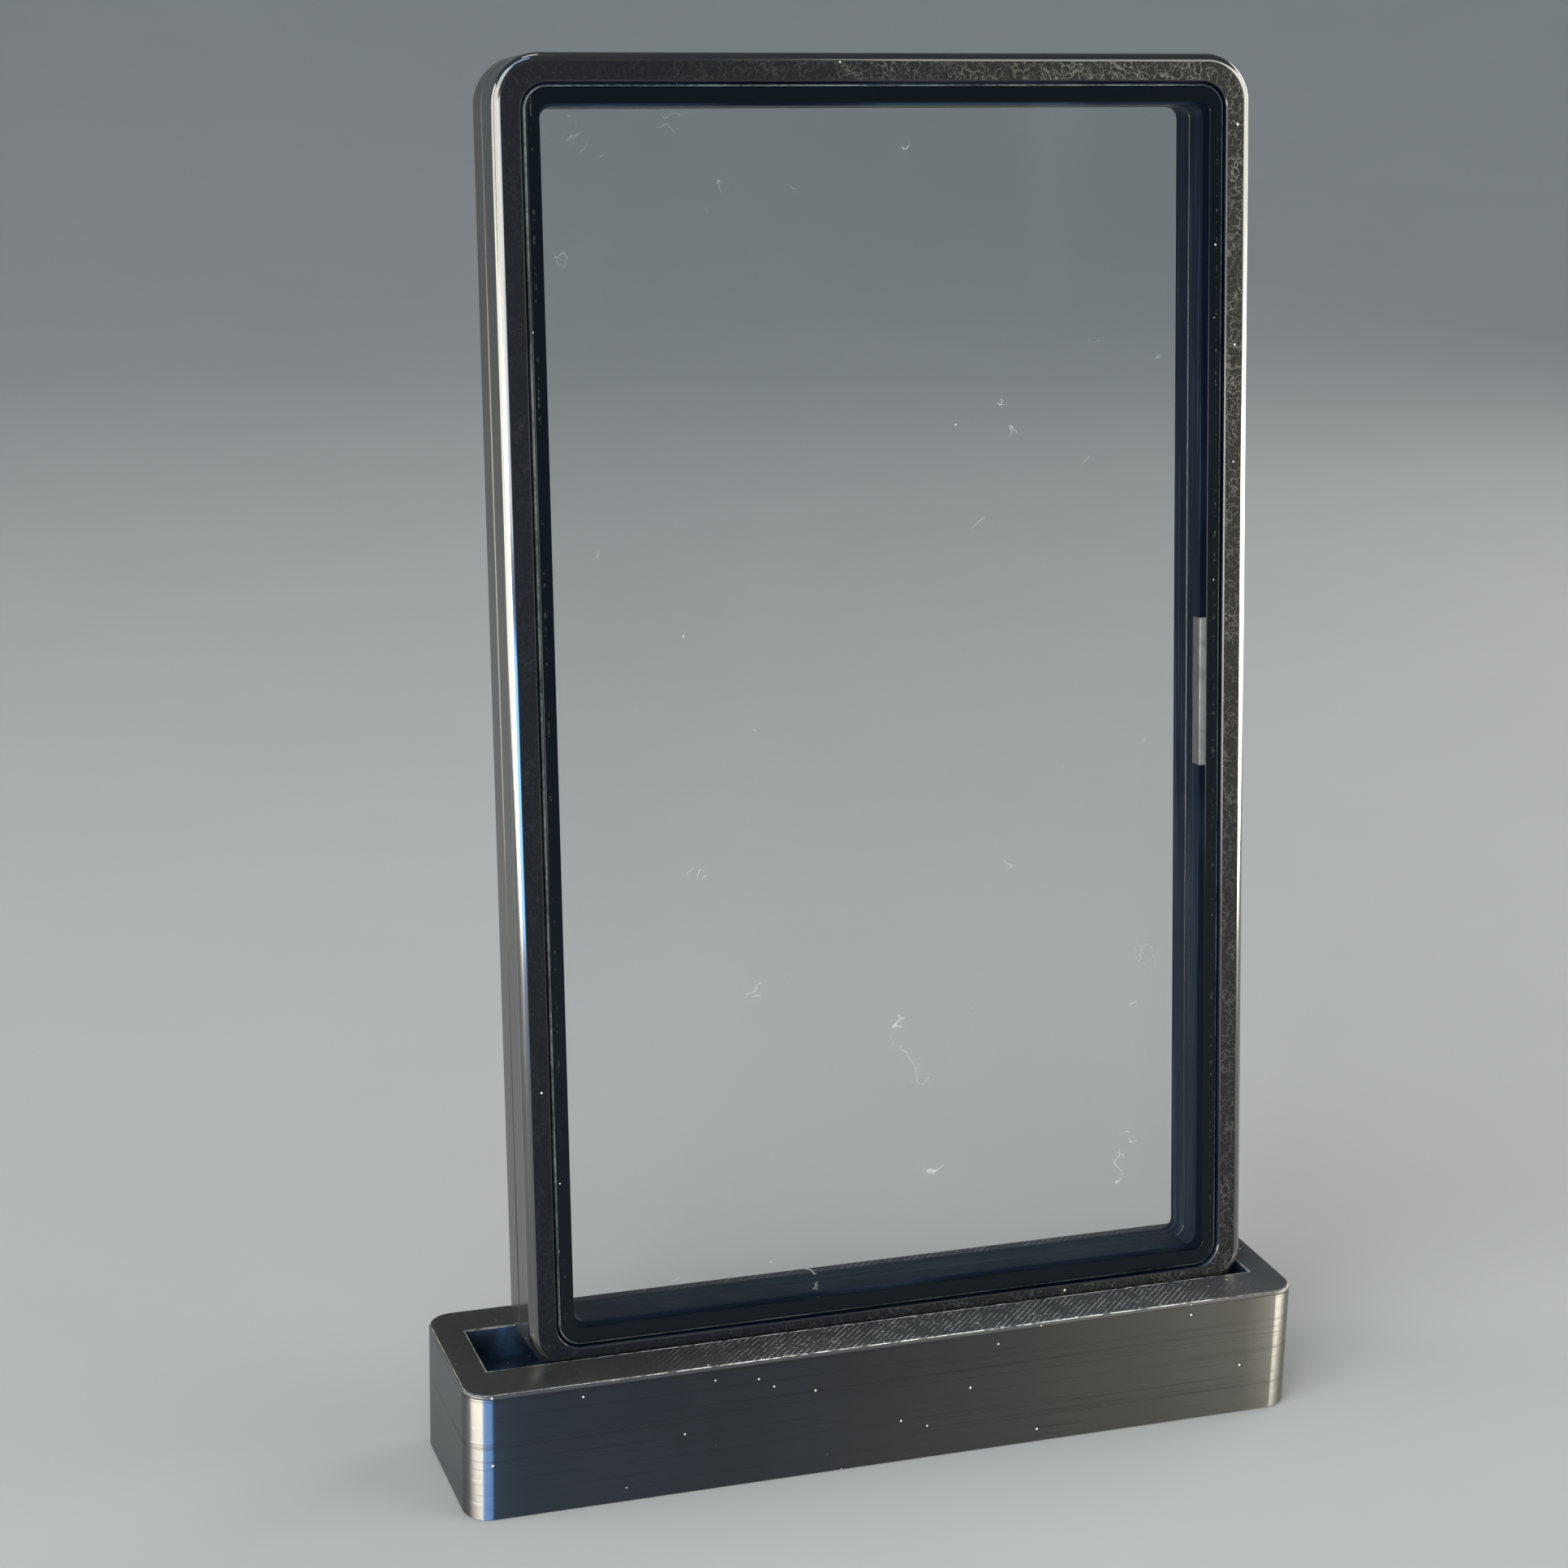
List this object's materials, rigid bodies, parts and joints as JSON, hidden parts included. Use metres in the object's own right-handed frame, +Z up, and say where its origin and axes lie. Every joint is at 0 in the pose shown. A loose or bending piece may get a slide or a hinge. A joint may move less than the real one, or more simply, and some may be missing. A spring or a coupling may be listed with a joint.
{
  "type": "graded card display case",
  "caption": "Magnetic display case with clear front and rear panes for a graded card, leaning back in a slotted block.",
  "frame": {"origin": "middle of the stand's underside, on the surface that it stands on", "axes": "+X along the stand to the right as seen from the front, +Y from the front pane to the rear pane, +Z up"},
  "size_m": [0.1058, 0.0338, 0.1645],
  "materials": {
    "case_black": "satin black moulding with a finely textured rim",
    "pane_clear": "clear polished acrylic sheet",
    "border_black": "smooth gloss black film",
    "magnet_nickel": "satin nickel plating",
    "stand_black": "printed black plastic with fine layer lines"
  },
  "bodies": {
    "stand": {"stand_base": "stand_black"},
    "rear_half": {"rear_frame": "case_black", "rear_pane": "pane_clear", "rear_border": "border_black", "rear_magnet_left": "magnet_nickel", "rear_magnet_right": "magnet_nickel"},
    "front_half": {"front_frame": "case_black", "front_pane": "pane_clear", "front_border": "border_black", "front_magnet_left": "magnet_nickel", "front_magnet_right": "magnet_nickel"}
  },
  "joints": [
    {"name": "case_lift", "type": "slide", "parent": "stand", "child": "rear_half", "axis": [0, 0.1132, 0.9936], "range_m": [0, 0.04]},
    {"name": "front_half_open", "type": "slide", "parent": "rear_half", "child": "front_half", "axis": [0, -0.2334, 0.9724], "range_m": [0, 0.06]}
  ]
}
